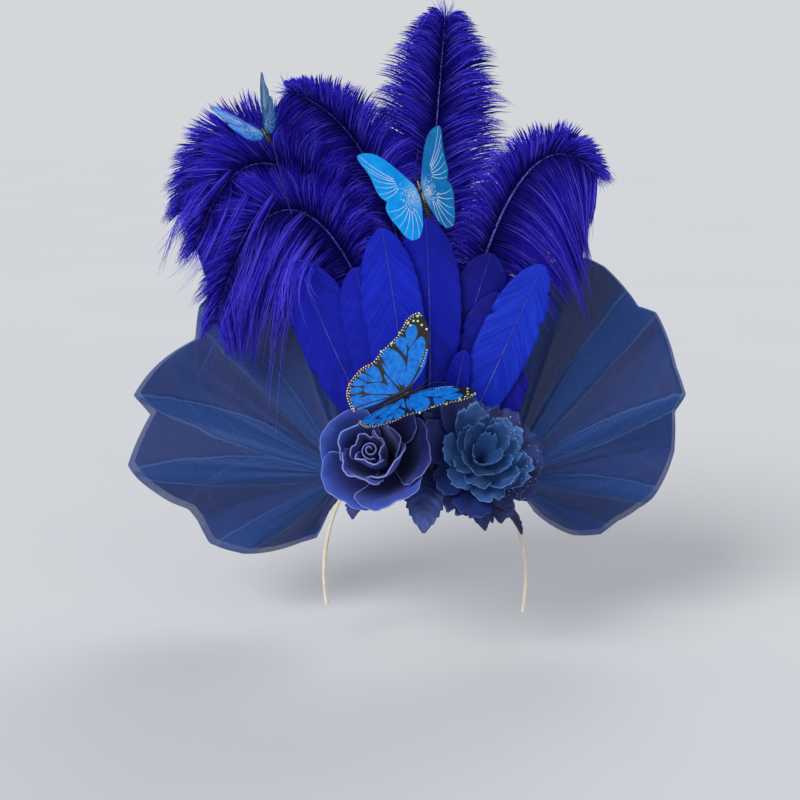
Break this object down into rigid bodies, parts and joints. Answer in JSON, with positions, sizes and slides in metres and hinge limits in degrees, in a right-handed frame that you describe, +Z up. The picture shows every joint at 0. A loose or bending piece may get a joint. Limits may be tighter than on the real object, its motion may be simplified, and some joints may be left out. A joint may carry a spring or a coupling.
{
  "type": "feather headdress",
  "caption": "Showgirl headdress on a narrow hair band: ostrich plumes and goose feathers over flowers, wired butterflies and gathered tulle fans at both sides.",
  "frame": {"origin": "the crown of the wearer's head, on the underside of the hair band's middle", "axes": "+Z up, the wearer faces -Y, +X towards the wearer's left ear"},
  "size_m": [0.4455, 0.2024, 0.4595],
  "materials": {
    "cream_ribbon": "satin ribbon",
    "navy_felt": "matt felt",
    "royal_goose": "satin feather",
    "ultramarine_ostrich": "downy feather",
    "navy_tulle": "sheer net",
    "violet_foam": "matt foam sheet",
    "navy_silk": "matt silk",
    "leaf_silk": "matt silk",
    "wing_print_dark": "printed film",
    "wing_print_bright": "printed film",
    "black_body": "satin",
    "dark_wire": "satin"
  },
  "bodies": {
    "root": {"butterfly_large_body": "black_body", "butterfly_large_stem": "dark_wire", "butterfly_large_wing_left": "wing_print_dark", "butterfly_large_wing_right": "wing_print_dark", "butterfly_middle_body": "black_body", "butterfly_middle_stem": "dark_wire", "butterfly_middle_wing_left": "wing_print_bright", "butterfly_middle_wing_right": "wing_print_bright", "butterfly_small_body": "black_body", "butterfly_small_stem": "dark_wire", "butterfly_small_wing_left": "wing_print_bright", "butterfly_small_wing_right": "wing_print_bright", "felt_pad": "navy_felt", "goose_centre": "royal_goose", "goose_centre_left": "royal_goose", "goose_left_inner": "royal_goose", "goose_left_outer": "royal_goose", "goose_right_dark": "royal_goose", "goose_right_inner": "royal_goose", "goose_right_light": "royal_goose", "goose_right_low": "royal_goose", "goose_right_tuft": "royal_goose", "hair_band": "cream_ribbon", "leaf_far_right": "leaf_silk", "leaf_left": "leaf_silk", "leaf_middle": "leaf_silk", "leaf_right": "leaf_silk", "leaf_under_rose": "leaf_silk", "peony_calyx": "navy_silk", "peony_tier_1": "navy_silk", "peony_tier_2": "navy_silk", "peony_tier_3": "navy_silk", "peony_tier_4": "navy_silk", "peony_tier_5": "navy_silk", "peony_tier_6": "navy_silk", "plume_centre": "ultramarine_ostrich", "plume_left_high": "ultramarine_ostrich", "plume_left_low": "ultramarine_ostrich", "plume_left_middle": "ultramarine_ostrich", "plume_right": "ultramarine_ostrich", "plume_upper_left": "ultramarine_ostrich", "rose_bud": "violet_foam", "rose_calyx": "violet_foam", "rose_inner_petal_1": "violet_foam", "rose_inner_petal_2": "violet_foam", "rose_inner_petal_3": "violet_foam", "rose_middle_petal_1": "violet_foam", "rose_middle_petal_2": "violet_foam", "rose_middle_petal_3": "violet_foam", "rose_middle_petal_4": "violet_foam", "rose_outer_petal_1": "violet_foam", "rose_outer_petal_2": "violet_foam", "rose_outer_petal_3": "violet_foam", "rose_outer_petal_4": "violet_foam", "rose_outer_petal_5": "violet_foam", "tulle_left_back": "navy_tulle", "tulle_left_front": "navy_tulle", "tulle_right_back": "navy_tulle", "tulle_right_front": "navy_tulle"}
  },
  "joints": []
}
